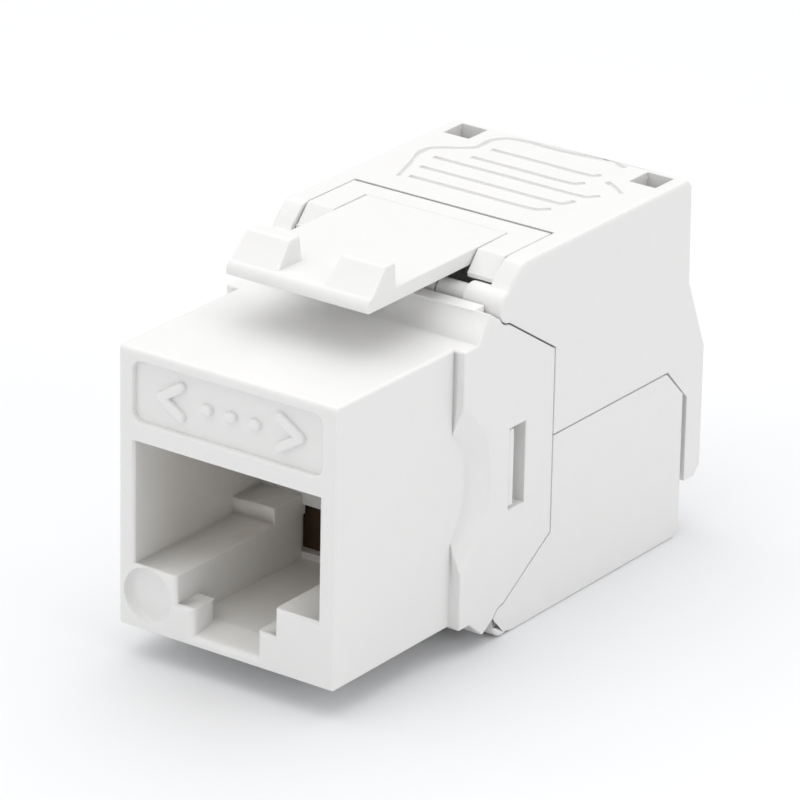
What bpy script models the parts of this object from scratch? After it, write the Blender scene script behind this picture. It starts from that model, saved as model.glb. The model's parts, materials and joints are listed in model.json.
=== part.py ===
"""Tool-less snap-in network jack with two squeeze-shut termination wings.

Sizes are in millimetres and become metres in point().  X runs across the jack, "depth" runs from
the front face to the rear, and z runs up from the flat face of the lower wing.  The origin is the
middle of the box's underside, so the front face lies half the length in front of it.
"""
import math

import bmesh
import bpy
from mathutils import Vector

MM = 0.001

# Overall sizes
LENGTH = 34.0               # front face to the rear of the upper wing's leg
WIDTH = 16.0                # over the shoulder and both wings
MID_HEIGHT = 10.15          # the shoulder, the hinges and the terminals mirror about this height

# Clearances
FIT_GAP = 0.15              # between pieces that sit in one another
HINGE_GAP = 0.10            # round a hinge barrel
PIN_GAP = 0.08              # round a hinge pin
SEAM_GAP = 0.09             # between the wings, and between a wing and the shoulder
WIRE_GAP = 0.13             # round a contact wire or a terminal tail
OVERLAP = 0.3               # how far joined solids reach into each other
SPARE = 1.0                 # how far a cutting solid reaches past what it cuts

# Front housing: the block that fills the panel opening
BLOCK_WIDTH = 14.5
BLOCK_HEIGHT = 16.25
BLOCK_RISE = 1.75           # underside of the block above the lower wing's flat face
BLOCK_DEPTH = 10.4
BLOCK_TOP = BLOCK_RISE + BLOCK_HEIGHT

# Plug port: heights are above the lower wing's flat face
PORT_WIDTH = 12.3
PORT_LEDGE, PORT_CEILING = 5.55, 12.7
PORT_STEP, PORT_STEP_WIDTH = 3.9, 6.6
PORT_FLOOR, PORT_NOTCH_WIDTH = 2.3, 4.2
KEEPER_DEPTH = 2.0          # the two steps that hold the plug's latch are this deep
CHANNEL_FLOOR = 2.7         # the floor rises to this height behind them
PORT_DEPTH = 11.3
PORT_REAR_WALL = 0.7
LATCH_WINDOW_BOTTOM, LATCH_WINDOW_TOP = 3.1, 5.9    # the latch channel's way through the rear wall
LATCH_WINDOW_MARGIN = 0.35  # the window is this much wider than the channel on either side
CONTACT_WINDOW_DROP = 2.0   # the contacts' window reaches this far below them
STOP_FRONT, STOP_TOP = 8.75, 6.5     # plug stops on the ledges, flush with the channel
LABEL_MARGIN = 0.95         # from the block's sides
LABEL_BOTTOM, LABEL_TOP = 13.8, 17.35
LABEL_DEPTH, LABEL_CORNER = 0.35, 0.6
POCKET_MARGIN = 2.0         # middle of the round pocket from the block's left side
POCKET_HEIGHT, POCKET_RADIUS, POCKET_DEPTH = 3.9, 1.45, 0.5

# Jack contacts and their carrier
CONTACT_COUNT = 8
CONTACT_PITCH = 1.016
CONTACT_RADIUS = 0.2
CONTACT_HEIGHT = 13.05      # the straight leg under the carrier
CONTACT_BEND_DEPTH = 4.0
CONTACT_BEND_RADIUS = 0.7
CONTACT_SLOPE = 35.0        # degrees that the free leg falls towards the rear
CONTACT_FREE_LEG = 5.3
CONTACT_END = 0.2           # stands out behind the board
CARRIER_MARGIN = 0.644      # carrier's side from the outermost contact
CARRIER_FRONT = 4.6
CARRIER_THICKNESS = 1.25

# Circuit board between the port and the terminal frame
BOARD_THICKNESS = 1.0
BOARD_GAP = 0.25            # from the port's rear wall
BOARD_BACKING = 0.5         # from the terminal frame, with room for the soldered ends
BOARD_FRONT = PORT_DEPTH + PORT_REAR_WALL + BOARD_GAP
BOARD_REAR = BOARD_FRONT + BOARD_THICKNESS
FRAME_FRONT = BOARD_REAR + BOARD_BACKING

# Front housing: the shoulder behind the block
SLOT_FRONT = FRAME_FRONT + 1.0
SLOT_LENGTH, SLOT_HEIGHT = 1.55, 4.8
SLOT_DROP = 0.35            # middle of the slot below the middle of the shoulder
SLOT_REAR = SLOT_FRONT + SLOT_LENGTH
SHOULDER_REAR = SLOT_REAR + 2.6
SHOULDER_TIP_DEPTH = 12.6   # crest of the top ridge and of the bottom tooth
SHOULDER_TIP_HEIGHT = 9.4   # crest above or below the middle
SHOULDER_REAR_HEIGHT = 5.43     # where the slopes end at the rear, above or below the middle
RIDGE_LEAN, TOOTH_LEAN = 0.95, 1.235    # how far their front faces lean back from their feet
RIDGE_MARGIN = 1.0          # the flat ridge stops this far from the shoulder's sides
RIDGE_SINK = 0.1            # the flat ridge reaches this far into the crest
SCALLOP_RADIUS = 5.75       # on the shoulder's side
SCALLOP_FOOT = 4.3          # where the scallop runs out on the block's side
SCALLOP_DEPTH = 7.4         # centre of the finger scallop
SCALLOP_DROP = 0.22         # centre below the middle
SHOULDER_WALL = 1.45
CAVITY_MARGIN = 0.27        # cavity above the slopes' rear ends
CAVITY_WIDTH = WIDTH - 2 * SHOULDER_WALL
CAVITY_HALF_HEIGHT = SHOULDER_REAR_HEIGHT + CAVITY_MARGIN

# Hinges of the two wings
HINGE_DEPTH = SHOULDER_TIP_DEPTH + 1.9
BARREL_RADIUS = 0.9
BARREL_LIFT = 0.05          # lower barrel above the lower wing's flat face
HINGE_HEIGHT = MID_HEIGHT - BARREL_RADIUS - BARREL_LIFT     # above or below the middle
BARREL_LENGTH = 2.55        # from the wing's side inwards
BARREL_START = WIDTH / 2 - BARREL_LENGTH
NECK_RADIUS = 0.65
PIN_RADIUS = 0.35
PIN_LENGTH = WIDTH - 1.4
EAR_INNER, EAR_OUTER, EAR_RADIUS = 2.4, 3.4, 0.62
EAR_FOOT = 1.2              # sunk below the ear's round end
EAR_GAP = 0.1               # between an ear and the wing's neck

# Wings
WING_WALL = 1.3
WING_INNER = WIDTH / 2 - WING_WALL
REAR_WALL = 1.1
SEAM_SHIFT = 0.3            # the seam between the wings lies this far above the middle
WING_REAR = LENGTH - 3.75   # the side seam runs back to here, then drops
LEG_SLOPE = 2.15            # size of that drop's chamfer
LEG_THICKNESS = 1.7
LEG_INNER = LENGTH - LEG_THICKNESS
LEG_RELIEF = 0.45           # the leg is thinner by this between the cheeks
LEG_BOTTOM = 3.2
LEG_CHAMFER = 0.5
UPPER_TOP = MID_HEIGHT + 11.4
UPPER_ROOF = 1.4
UPPER_REAR = LENGTH - 1.9
UPPER_LEG_TOP = 11.0        # the rear face is vertical up to here, then leans forward
UPPER_WAIST = 15.3
REAR_LEAN = 0.15            # the rear wall stands out this much more at the waist than at the roof
ROOF_CORNER = 0.4
LOWER_FLOOR = 1.2
LOWER_REAR = LEG_INNER - 0.35
LOWER_CORNER = 0.6
CABLE_RADIUS = 3.25
CABLE_HEIGHT = 9.6
WINDOW_MARGIN, WINDOW_WIDTH = 0.8, 1.75     # from the roof's side, and across
WINDOW_REAR, WINDOW_LENGTH = UPPER_REAR - 0.75, 1.85
WINDOW_DEPTH = 3.0          # sunk into the cheek below the roof

# Terminal frame behind the shoulder
FRAME_WIDTH = 2 * WING_INNER - 0.16
POST_FRONT = SHOULDER_REAR + 0.3
DECK_TOP = UPPER_TOP
DECK_THICKNESS = 1.15
DECK_BOTTOM = DECK_TOP - DECK_THICKNESS
DECK_FRONT, DECK_REAR = 14.85, POST_FRONT + 1.0
DECK_NOSE = 1.05            # how far the deck's front face leans back
DECK_SLIT = 0.1             # beside the latch tab
DECK_CLEARANCE = 0.2        # kept by the upper wing's roof as it swings past
TERMINAL_BLOCK_HEIGHT = 6.3
LUG_LENGTH = 0.45           # of a side lug, from front to rear
LUG_RECESS = 0.1            # a lug's face lies this far inside the shoulder's side

# Latch tab
TAB_FRONT, TAB_ROOT = 6.0, SHOULDER_REAR - 0.3
TAB_TOP = DECK_TOP
TAB_THICKNESS = 0.85
TAB_BOTTOM = TAB_TOP - TAB_THICKNESS
TAB_WIDTH = 9.4
NOSE_LENGTH, NOSE_BOTTOM = 0.55, 0.22   # rounding of its front edge: length on top, height below
RIB_FRONT, RIB_THICKNESS, RIB_HALF_WIDTH = 11.9, 0.25, 4.1
HOOK_HEIGHT = 1.35
HOOK_TOP = TAB_TOP + HOOK_HEIGHT
HOOK_CREST, HOOK_REAR = 7.75, 8.65
HOOK_INNER, HOOK_INNER_TAPER, HOOK_OUTER_TAPER = 1.5, 0.22, 0.1
HOOK_INSET = 0.02           # the hooks' sides stand this far inside the tab's
HOOK_ROOT = 0.2             # sunk into the tab

# Wire guides inside the wings
GUIDE_WIDTH = 2 * WING_INNER - 0.8
GUIDE_FRONT, GUIDE_LENGTH = DECK_REAR + 0.7, 6.3
GUIDE_REAR = GUIDE_FRONT + GUIDE_LENGTH
GUIDE_FACE = 5.25           # pressing face above or below the middle
GUIDE_CHANNEL, GUIDE_CHANNEL_HEIGHT = 1.3, 2.2
GUIDE_SWING = 0.85          # room in front of a fork for the guide's arc
FORK_ROOM = 0.25            # beside a fork, and twice this past its tip
TERMINAL_BLOCK_REAR = GUIDE_REAR - 0.2

# Insulation-displacement terminals: four facing up and four facing down
TERMINAL_PITCH = 3.1
TERMINAL_DEPTHS = (GUIDE_FRONT + 3.6, GUIDE_FRONT + 1.1)    # outer pair, inner pair
TERMINAL_ROOT = 0.8         # lower end of the fork above the middle
TERMINAL_TIP = 6.85
TERMINAL_WIDTH = 2.0
TERMINAL_THICKNESS = 0.5
TERMINAL_CORNER = 0.4
TERMINAL_SLOT, TERMINAL_SLOT_DEPTH = 0.3, 3.2
TERMINAL_MOUTH = 0.55
TAIL_SIZE = 0.45
TAIL_RISE = 0.35            # middle of the tail above the fork's lower end
TAIL_END = 0.15             # stands out in front of the board

SEGMENTS = 40               # sides of a round shape

CONTACT_XS = [(number - (CONTACT_COUNT - 1) / 2) * CONTACT_PITCH for number in range(CONTACT_COUNT)]
CARRIER_WIDTH = 2 * (CONTACT_XS[-1] + CARRIER_MARGIN)
TERMINAL_XS = [TERMINAL_PITCH * step for step in (-1.5, -0.5, 0.5, 1.5)]


def point(x, depth, z):
    """A place given in millimetres as a vector in metres, in the object's own frame."""
    return Vector((x, depth - LENGTH / 2, z)) * MM


def add_object(name, mesh):
    """Put a mesh in the scene as a new object."""
    piece = bpy.data.objects.new(name, mesh)
    bpy.context.collection.objects.link(piece)
    return piece


def finish_mesh(name, shape):
    """Turn a bmesh into an object whose faces point out."""
    bmesh.ops.recalc_face_normals(shape, faces=shape.faces)
    mesh = bpy.data.meshes.new(name)
    shape.to_mesh(mesh)
    shape.free()
    return add_object(name, mesh)


def loft(name, first, second):
    """A solid between two rings of places with the same number of corners."""
    shape = bmesh.new()
    rings = [[shape.verts.new(corner) for corner in ring] for ring in (first, second)]
    count = len(first)
    for index in range(count):
        following = (index + 1) % count
        shape.faces.new((rings[0][index], rings[0][following], rings[1][following], rings[1][index]))
    shape.faces.new(rings[0])
    shape.faces.new(rings[1])
    return finish_mesh(name, shape)


def side_prism(name, outline, left, right):
    """Extrude a (depth, z) outline across X."""
    return loft(name, [point(left, *corner) for corner in outline],
                [point(right, *corner) for corner in outline])


def front_prism(name, outline, front, rear):
    """Extrude an (x, z) outline from front to rear."""
    return loft(name, [point(x, front, z) for x, z in outline],
                [point(x, rear, z) for x, z in outline])


def box(name, x_range, depth_range, z_range):
    """A rectangular block."""
    (front, rear), (bottom, top) = depth_range, z_range
    outline = ((front, bottom), (rear, bottom), (rear, top), (front, top))
    return side_prism(name, outline, *x_range)


def arc(centre, radius, start, end, steps):
    """Places on an arc in a plane, angles in degrees."""
    angles = [math.radians(start + (end - start) * step / steps) for step in range(steps + 1)]
    return [(centre[0] + radius * math.cos(a), centre[1] + radius * math.sin(a)) for a in angles]


def circle(centre, radius, segments=SEGMENTS):
    """A closed ring of places round a centre."""
    return arc(centre, radius, 0, 360, segments)[:-1]


def rod(name, centre, radius, left, right):
    """A round bar across X, centred at (depth, z)."""
    return side_prism(name, circle(centre, radius), left, right)


def combine(piece, tools, operation):
    """Join tools to a piece or cut them out of it, and remove the tools."""
    for tool in tools:
        modifier = piece.modifiers.new(tool.name, "BOOLEAN")
        modifier.operation = operation
        modifier.object = tool
        with bpy.context.temp_override(object=piece):
            bpy.ops.object.modifier_apply(modifier=modifier.name)
        bpy.data.objects.remove(tool)
    return piece


def join(piece, *tools):
    """Join tools to a piece."""
    return combine(piece, tools, "UNION")


def cut(piece, *tools):
    """Cut tools out of a piece."""
    return combine(piece, tools, "DIFFERENCE")


def both_sides(make, inner, outer):
    """Make a tool between two distances from the middle plane, on either side of it."""
    return [make(inner, outer), make(-outer, -inner)]


def level(side, distance):
    """A height above (side 1) or below (side -1) the middle."""
    return MID_HEIGHT + side * distance


def hinge_centre(side):
    """Where a wing's hinge axis passes, as (depth, z)."""
    return (HINGE_DEPTH, level(side, HINGE_HEIGHT))


def slope_height(depth):
    """Distance of the shoulder's slope from the middle, at a depth."""
    run = SHOULDER_REAR - SHOULDER_TIP_DEPTH
    share = (depth - SHOULDER_TIP_DEPTH) / run
    return SHOULDER_TIP_HEIGHT + (SHOULDER_REAR_HEIGHT - SHOULDER_TIP_HEIGHT) * share


# ---------------------------------------------------------------- front housing

def shoulder_outline():
    """Side outline of the shoulder, with its top ridge and bottom tooth."""
    ridge_foot = SHOULDER_TIP_DEPTH - RIDGE_LEAN
    tooth_foot = SHOULDER_TIP_DEPTH - TOOTH_LEAN
    return ((BLOCK_DEPTH, BLOCK_RISE), (tooth_foot, BLOCK_RISE),
            (SHOULDER_TIP_DEPTH, level(-1, SHOULDER_TIP_HEIGHT)),
            (SHOULDER_REAR, level(-1, SHOULDER_REAR_HEIGHT)),
            (SHOULDER_REAR, level(1, SHOULDER_REAR_HEIGHT)),
            (SHOULDER_TIP_DEPTH, level(1, SHOULDER_TIP_HEIGHT)),
            (ridge_foot, BLOCK_TOP), (BLOCK_DEPTH, BLOCK_TOP))


def port_tools():
    """The plug port, its latch channel, the contact channel and the window in the rear wall."""
    skin = 0.01
    half, step, notch = PORT_WIDTH / 2, PORT_STEP_WIDTH / 2, PORT_NOTCH_WIDTH / 2
    upper = ((step, PORT_LEDGE), (half, PORT_LEDGE), (half, PORT_CEILING), (-half, PORT_CEILING),
             (-half, PORT_LEDGE), (-step, PORT_LEDGE))

    def mouth_ring(depth):
        """Outline of the mouth at one depth; the channel floor between the keepers falls inwards."""
        floor = PORT_FLOOR + (CHANNEL_FLOOR - PORT_FLOOR) * depth / KEEPER_DEPTH
        outline = ((-step, PORT_STEP), (-notch, PORT_STEP), (-notch, floor), (notch, floor),
                   (notch, PORT_STEP), (step, PORT_STEP)) + upper
        return [point(x, depth, z) for x, z in outline]

    channel = ((-step, CHANNEL_FLOOR), (step, CHANNEL_FLOOR)) + upper
    channel_half = CARRIER_WIDTH / 2 + FIT_GAP
    channel_front = CONTACT_BEND_DEPTH - CONTACT_BEND_RADIUS - 3 * CONTACT_RADIUS
    channel_top = CONTACT_HEIGHT - CONTACT_RADIUS + CARRIER_THICKNESS + FIT_GAP
    rear_wall = (PORT_DEPTH - skin, PORT_DEPTH + PORT_REAR_WALL + skin)
    window_half = step + LATCH_WINDOW_MARGIN
    return [loft("port_mouth", mouth_ring(-SPARE), mouth_ring(KEEPER_DEPTH)),
            front_prism("port", channel, KEEPER_DEPTH - skin, PORT_DEPTH),
            box("contact_channel", (-channel_half, channel_half), (channel_front, rear_wall[1]),
                (PORT_CEILING - skin, channel_top)),
            box("contact_window", (-channel_half, channel_half), rear_wall,
                (CONTACT_HEIGHT - CONTACT_WINDOW_DROP, PORT_CEILING)),
            box("latch_window", (-window_half, window_half), rear_wall,
                (LATCH_WINDOW_BOTTOM, LATCH_WINDOW_TOP))]


def rounded_rectangle(half_width, bottom, top, radius, steps=6):
    """An (x, z) outline with rounded corners."""
    corners = ((half_width, bottom, -90), (half_width, top, 0), (-half_width, top, 90),
               (-half_width, bottom, 180))
    outline = []
    for x, z, start in corners:
        centre = (x - math.copysign(radius, x), z + (radius if z == bottom else -radius))
        outline += arc(centre, radius, start, start + 90, steps)
    return outline


def slot_heights(gap):
    """Bottom and top of the side slot, or of what fits in it with a gap."""
    middle = MID_HEIGHT - SLOT_DROP
    return (middle - SLOT_HEIGHT / 2 + gap, middle + SLOT_HEIGHT / 2 - gap)


def make_front_housing():
    """Face block, shoulder, hinge ears and every cut in them."""
    half = WIDTH / 2
    housing = box("front_housing", (-BLOCK_WIDTH / 2, BLOCK_WIDTH / 2), (0, BLOCK_DEPTH + SPARE),
                  (BLOCK_RISE, BLOCK_TOP))
    join(housing, side_prism("shoulder", shoulder_outline(), -half, half))
    ridge_half = half - RIDGE_MARGIN
    ridge_top = level(1, SHOULDER_TIP_HEIGHT)
    join(housing, box("ridge", (-ridge_half, ridge_half),
                      (SHOULDER_TIP_DEPTH - RIDGE_SINK, HINGE_DEPTH - NECK_RADIUS),
                      (ridge_top - BARREL_RADIUS, ridge_top)))
    for side in (1, -1):
        add_ears(housing, side)
    cut(housing, *port_tools())
    cavity_half = CAVITY_WIDTH / 2
    cut(housing, box("cavity", (-cavity_half, cavity_half),
                     (PORT_DEPTH + PORT_REAR_WALL, SHOULDER_REAR + SPARE),
                     (level(-1, CAVITY_HALF_HEIGHT), level(1, CAVITY_HALF_HEIGHT))))
    label = rounded_rectangle(BLOCK_WIDTH / 2 - LABEL_MARGIN, LABEL_BOTTOM, LABEL_TOP, LABEL_CORNER)
    cut(housing, front_prism("label_recess", label, -SPARE, LABEL_DEPTH))
    pocket = circle((POCKET_MARGIN - BLOCK_WIDTH / 2, POCKET_HEIGHT), POCKET_RADIUS)
    cut(housing, front_prism("round_pocket", pocket, -SPARE, POCKET_DEPTH))
    cut(housing, scallop_tool(1), scallop_tool(-1))
    cut(housing, *both_sides(lambda a, b: box("side_slot", (a, b), (SLOT_FRONT, SLOT_REAR), slot_heights(0)),
                             cavity_half - OVERLAP, half + SPARE))
    stop_outer = PORT_WIDTH / 2
    join(housing, *both_sides(lambda a, b: box("plug_stop", (a, b), (STOP_FRONT, PORT_DEPTH + OVERLAP),
                                               (PORT_LEDGE - OVERLAP, STOP_TOP)),
                              PORT_STEP_WIDTH / 2, stop_outer + OVERLAP))
    return housing


def scallop_tool(hand):
    """Cone that dishes the shoulder for a finger, on the right (hand 1) or the left (hand -1)."""
    centre = (SCALLOP_DEPTH, level(-1, SCALLOP_DROP))
    inner, outer = BLOCK_WIDTH / 2, WIDTH / 2
    spread = (SCALLOP_RADIUS - SCALLOP_FOOT) / (outer - inner)
    rings = [(inner, SCALLOP_FOOT), (outer + SPARE, SCALLOP_RADIUS + spread * SPARE)]
    return loft("scallop", *([point(hand * x, *corner) for corner in circle(centre, radius)]
                             for x, radius in rings))


def add_ears(housing, side):
    """Cut the cradle for a wing's barrels and stand the two bored ears in it."""
    centre = hinge_centre(side)
    reach = WIDTH / 2 + SPARE
    cut(housing, rod("cradle", centre, BARREL_RADIUS + HINGE_GAP, -reach, reach))
    join(housing, *both_sides(lambda a, b: hinge_ear(side, a, b), EAR_INNER, EAR_OUTER))
    bore = EAR_OUTER + OVERLAP
    cut(housing, rod("pin_bore", centre, PIN_RADIUS + PIN_GAP, -bore, bore))


def hinge_ear(side, left, right):
    """One knuckle that carries a hinge pin, with its foot in the shoulder's slope."""
    depth, height = hinge_centre(side)
    foot = height - side * (EAR_RADIUS + EAR_FOOT)
    ring = arc((depth, height), EAR_RADIUS, 0, side * 180, SEGMENTS // 2)
    ring += [(depth - EAR_RADIUS, foot), (depth + EAR_RADIUS, foot)]
    return side_prism("hinge_ear", ring, left, right)


# ---------------------------------------------------------------- latch tab

def make_latch_tab():
    """Spring tongue with a rib under its root and two wedge hooks that catch behind the panel."""
    nose_height = TAB_THICKNESS - NOSE_BOTTOM
    nose = [(TAB_FRONT + NOSE_LENGTH * (1 - x), TAB_TOP - nose_height * (1 - z))
            for x, z in arc((0, 0), 1.0, 0, 90, 6)]
    underside = [(TAB_FRONT + NOSE_BOTTOM, TAB_BOTTOM), (TAB_ROOT, TAB_BOTTOM), (TAB_ROOT, TAB_TOP)]
    tab = side_prism("latch_tab", nose[::-1] + underside, -TAB_WIDTH / 2, TAB_WIDTH / 2)
    rib = ((RIB_FRONT, TAB_BOTTOM + OVERLAP), (RIB_FRONT, TAB_BOTTOM),
           (RIB_FRONT + 2 * RIB_THICKNESS, TAB_BOTTOM - RIB_THICKNESS),
           (TAB_ROOT, TAB_BOTTOM - RIB_THICKNESS), (TAB_ROOT, TAB_BOTTOM + OVERLAP))
    join(tab, side_prism("rib", rib, -RIB_HALF_WIDTH, RIB_HALF_WIDTH))
    return join(tab, latch_hook(1), latch_hook(-1))


def latch_hook(hand):
    """A wedge that rises from the tab's nose to a narrow crest."""
    slope = (HOOK_CREST - TAB_FRONT - NOSE_LENGTH) / HOOK_HEIGHT
    inner, outer = HOOK_INNER, TAB_WIDTH / 2 - HOOK_INSET
    rings = ((HOOK_CREST - slope * (HOOK_HEIGHT + HOOK_ROOT), TAB_TOP - HOOK_ROOT, inner, outer),
             (HOOK_CREST, HOOK_TOP, inner + HOOK_INNER_TAPER, outer - HOOK_OUTER_TAPER))
    return loft("latch_hook", *([point(hand * left, front, z), point(hand * right, front, z),
                                 point(hand * right, HOOK_REAR, z), point(hand * left, HOOK_REAR, z)]
                                for front, z, left, right in rings))


# ---------------------------------------------------------------- terminal frame

def make_terminal_frame():
    """Flange in the shoulder, block that holds the terminals, post and deck over the hinge."""
    flange_half = CAVITY_WIDTH / 2 - FIT_GAP
    flange_height = CAVITY_HALF_HEIGHT - FIT_GAP
    frame_half, block_half = FRAME_WIDTH / 2, GUIDE_WIDTH / 2
    block_height = TERMINAL_BLOCK_HEIGHT / 2
    flange_z = (level(-1, flange_height), level(1, flange_height))
    frame = box("terminal_frame", (-flange_half, flange_half), (FRAME_FRONT, POST_FRONT + OVERLAP), flange_z)
    join(frame, box("block", (-block_half, block_half), (SHOULDER_REAR, TERMINAL_BLOCK_REAR),
                    (level(-1, block_height), level(1, block_height))))
    join(frame, box("post", (-frame_half, frame_half), (POST_FRONT, DECK_REAR), (flange_z[0], DECK_TOP)))
    side_block = ((DECK_FRONT, DECK_BOTTOM), (POST_FRONT + OVERLAP, DECK_BOTTOM),
                  (POST_FRONT + OVERLAP, DECK_TOP), (DECK_FRONT + DECK_NOSE, DECK_TOP))
    join(frame, *both_sides(lambda a, b: side_prism("side_block", side_block, a, b),
                            TAB_WIDTH / 2 + DECK_SLIT, frame_half))
    join(frame, box("tab_root", (-frame_half, frame_half), (TAB_ROOT + FIT_GAP, POST_FRONT + OVERLAP),
                    (TAB_BOTTOM - FIT_GAP, DECK_TOP)))
    lug_front = SLOT_FRONT + FIT_GAP
    join(frame, *both_sides(lambda a, b: box("lug", (a, b), (lug_front, lug_front + LUG_LENGTH),
                                             slot_heights(FIT_GAP)),
                            flange_half - OVERLAP, WIDTH / 2 - LUG_RECESS))
    for side in (1, -1):
        for x, depth in terminal_places():
            cut(frame, *terminal_pocket(side, x, depth))
    return frame


def terminal_places():
    """Each terminal's x and depth: the outer pair stands further back."""
    outer, inner = TERMINAL_DEPTHS
    return [(x, outer if abs(x) > TERMINAL_PITCH else inner) for x in TERMINAL_XS]


def terminal_pocket(side, x, depth):
    """Room in the frame for a fork and for its tail."""
    half = TERMINAL_WIDTH / 2 + WIRE_GAP
    thick = TERMINAL_THICKNESS / 2 + WIRE_GAP
    tail = TAIL_SIZE / 2 + WIRE_GAP
    fork_z = sorted((level(side, TERMINAL_ROOT - WIRE_GAP), level(side, TERMINAL_BLOCK_HEIGHT)))
    tail_height = TERMINAL_ROOT + TAIL_RISE
    tail_z = sorted((level(side, tail_height - tail), level(side, tail_height + tail)))
    return (box("fork_pocket", (x - half, x + half), (depth - thick, depth + thick), fork_z),
            box("tail_pocket", (x - tail, x + tail), (FRAME_FRONT - SPARE, depth), tail_z))


def make_terminal(name, side, x, depth):
    """A stamped fork with a slot for the wire and a tail that reaches through the board."""
    half, mouth, slot = TERMINAL_WIDTH / 2, TERMINAL_MOUTH / 2, TERMINAL_SLOT / 2
    bottom, tip, corner = TERMINAL_ROOT, TERMINAL_TIP, TERMINAL_CORNER
    slot_bottom = tip - TERMINAL_SLOT_DEPTH
    profile = ((-half, bottom), (half, bottom), (half, tip - corner), (half - corner, tip),
               (mouth, tip), (slot, tip - corner), (slot, slot_bottom), (-slot, slot_bottom),
               (-slot, tip - corner), (-mouth, tip), (corner - half, tip), (-half, tip - corner))
    outline = [(x + offset, level(side, height)) for offset, height in profile]
    thick = TERMINAL_THICKNESS / 2
    terminal = front_prism(name, outline, depth - thick, depth + thick)
    tail = TAIL_SIZE / 2
    tail_height = TERMINAL_ROOT + TAIL_RISE
    tail_z = sorted((level(side, tail_height - tail), level(side, tail_height + tail)))
    return join(terminal, box("tail", (x - tail, x + tail), (BOARD_FRONT - TAIL_END, depth), tail_z))


# ---------------------------------------------------------------- contacts, carrier, board

def contact_route(x):
    """Middle line of one contact: from the board forward, round the bend and down to its end."""
    radius = CONTACT_BEND_RADIUS
    bend = arc((CONTACT_BEND_DEPTH, CONTACT_HEIGHT - radius), radius, 90, 270 - CONTACT_SLOPE, 10)
    slope = math.radians(CONTACT_SLOPE)
    depth, height = bend[-1]
    end = (depth + CONTACT_FREE_LEG * math.cos(slope), height - CONTACT_FREE_LEG * math.sin(slope))
    start = (BOARD_REAR + CONTACT_END, CONTACT_HEIGHT)
    return [point(x, *place) for place in (start, *bend, end)]


def make_contact(name, x):
    """A round spring wire swept along its route."""
    curve = bpy.data.curves.new(name, "CURVE")
    curve.dimensions = "3D"
    curve.bevel_depth = CONTACT_RADIUS * MM
    curve.bevel_resolution = 2
    curve.use_fill_caps = True
    places = contact_route(x)
    spline = curve.splines.new("POLY")
    spline.points.add(len(places) - 1)
    for target, place in zip(spline.points, places):
        target.co = (*place, 1)
    return add_object(name, curve)


def make_contact_carrier():
    """Comb that holds the contacts' straight legs under the port's ceiling."""
    half = CARRIER_WIDTH / 2
    bottom = CONTACT_HEIGHT - CONTACT_RADIUS
    carrier = box("contact_carrier", (-half, half), (CARRIER_FRONT, BOARD_FRONT - FIT_GAP),
                  (bottom, bottom + CARRIER_THICKNESS))
    groove = CONTACT_RADIUS + WIRE_GAP
    for x in CONTACT_XS:
        cut(carrier, box("groove", (x - groove, x + groove), (CARRIER_FRONT - SPARE, BOARD_FRONT + SPARE),
                         (bottom - SPARE, CONTACT_HEIGHT + groove)))
    return carrier


def make_circuit_board():
    """Board across the rear of the port, drilled for the contacts and the terminals."""
    half = CAVITY_WIDTH / 2 - FIT_GAP
    height = CAVITY_HALF_HEIGHT - FIT_GAP
    board = box("circuit_board", (-half, half), (BOARD_FRONT, BOARD_REAR),
                (level(-1, height), level(1, height)))
    front, rear = BOARD_FRONT - SPARE, BOARD_REAR + SPARE
    for x in CONTACT_XS:
        hole = circle((x, CONTACT_HEIGHT), CONTACT_RADIUS + WIRE_GAP, SEGMENTS // 2)
        cut(board, front_prism("contact_hole", hole, front, rear))
    for side in (1, -1):
        for x in TERMINAL_XS:
            centre = (x, level(side, TERMINAL_ROOT + TAIL_RISE))
            hole = circle(centre, TAIL_SIZE * math.sqrt(0.5) + WIRE_GAP, SEGMENTS // 2)
            cut(board, front_prism("tail_hole", hole, front, rear))
    return board


# ---------------------------------------------------------------- wings

def add_barrels(wing, side):
    """Join the hinge barrels and their necks to a wing, and bore them for the pin."""
    centre = hinge_centre(side)
    neck_start = EAR_OUTER + EAR_GAP
    join(wing, *both_sides(lambda a, b: rod("barrel", centre, BARREL_RADIUS, a, b), BARREL_START, WIDTH / 2))
    join(wing, *both_sides(lambda a, b: rod("neck", centre, NECK_RADIUS, a, b),
                           neck_start, BARREL_START + OVERLAP))
    return cut(wing, *both_sides(lambda a, b: rod("pin_bore", centre, PIN_RADIUS + PIN_GAP, a, b),
                                 neck_start - SPARE / 2, PIN_LENGTH / 2 + FIT_GAP))


def wing_front_outline(side):
    """The edge a wing shares with the shoulder, from the hinge down to the seam."""
    slope = math.atan2(SHOULDER_TIP_HEIGHT - SHOULDER_REAR_HEIGHT, SHOULDER_REAR - SHOULDER_TIP_DEPTH)
    lift = SEAM_GAP / math.cos(slope)
    rear = SHOULDER_REAR + SEAM_GAP
    near = HINGE_DEPTH - BARREL_RADIUS / 3
    return [(near, level(side, slope_height(near) + lift)), (rear, level(side, slope_height(rear) + lift)),
            (rear, seam_height(side))]


def seam_height(side):
    """Edge of a wing along the seam between them."""
    return level(side, SEAM_GAP / 2) + SEAM_SHIFT


def wing_arm_outline():
    """Front of the upper wing's arms, from the roof down round the barrel."""
    arm = ((1.7, 0.0), (1.1, -0.12), (0.15, -0.97))      # depth from the hinge, height from the roof
    return [(HINGE_DEPTH + depth, UPPER_TOP + rise) for depth, rise in arm] + [
        (HINGE_DEPTH - BARREL_RADIUS / 6, level(1, HINGE_HEIGHT + NECK_RADIUS))]


def notch_radius():
    """Reach of the roof's front edge from the hinge, so that it swings clear of the deck."""
    depth, height = hinge_centre(1)
    return math.hypot(DECK_REAR - depth, DECK_TOP - height) + DECK_CLEARANCE


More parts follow.
